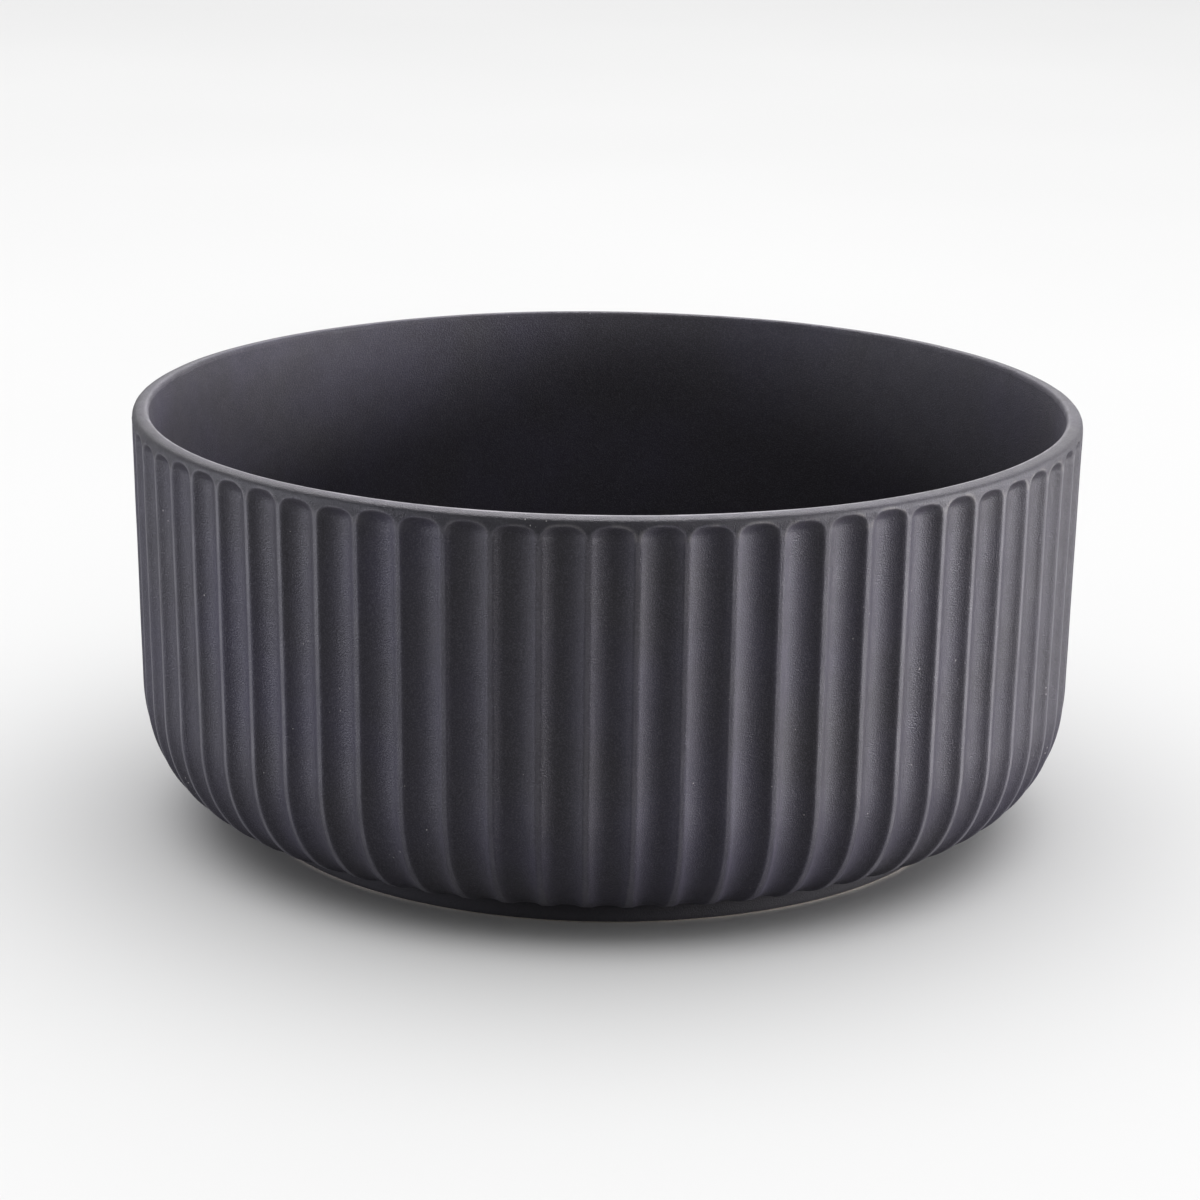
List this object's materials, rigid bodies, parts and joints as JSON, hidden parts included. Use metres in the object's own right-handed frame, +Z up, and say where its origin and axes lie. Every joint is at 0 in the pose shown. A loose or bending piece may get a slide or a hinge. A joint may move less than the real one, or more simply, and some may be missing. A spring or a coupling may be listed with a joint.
{
  "type": "empty candle jar",
  "caption": "Low round fluted ceramic candle vessel with a matte dark glaze, an open mouth, a flat inner floor and a narrower foot ring.",
  "frame": {"origin": "centre of the foot ring, on the surface the jar stands on", "axes": "+Z up along the jar's axis through the open mouth; -Y is the side that faces the viewer"},
  "size_m": [0.15, 0.15, 0.067],
  "materials": {
    "bare_stoneware": "unglazed fired clay, dry and finely grained",
    "outer_matte_glaze": "matte charcoal glaze, thinner and paler on the flute ridges, with fine pinholes",
    "inner_matte_glaze": "matte charcoal glaze",
    "underside_matte_glaze": "matte charcoal glaze"
  },
  "bodies": {
    "root": {"stoneware_body": "bare_stoneware", "outer_glaze": "outer_matte_glaze", "inner_glaze": "inner_matte_glaze", "underside_glaze": "underside_matte_glaze"}
  },
  "joints": []
}
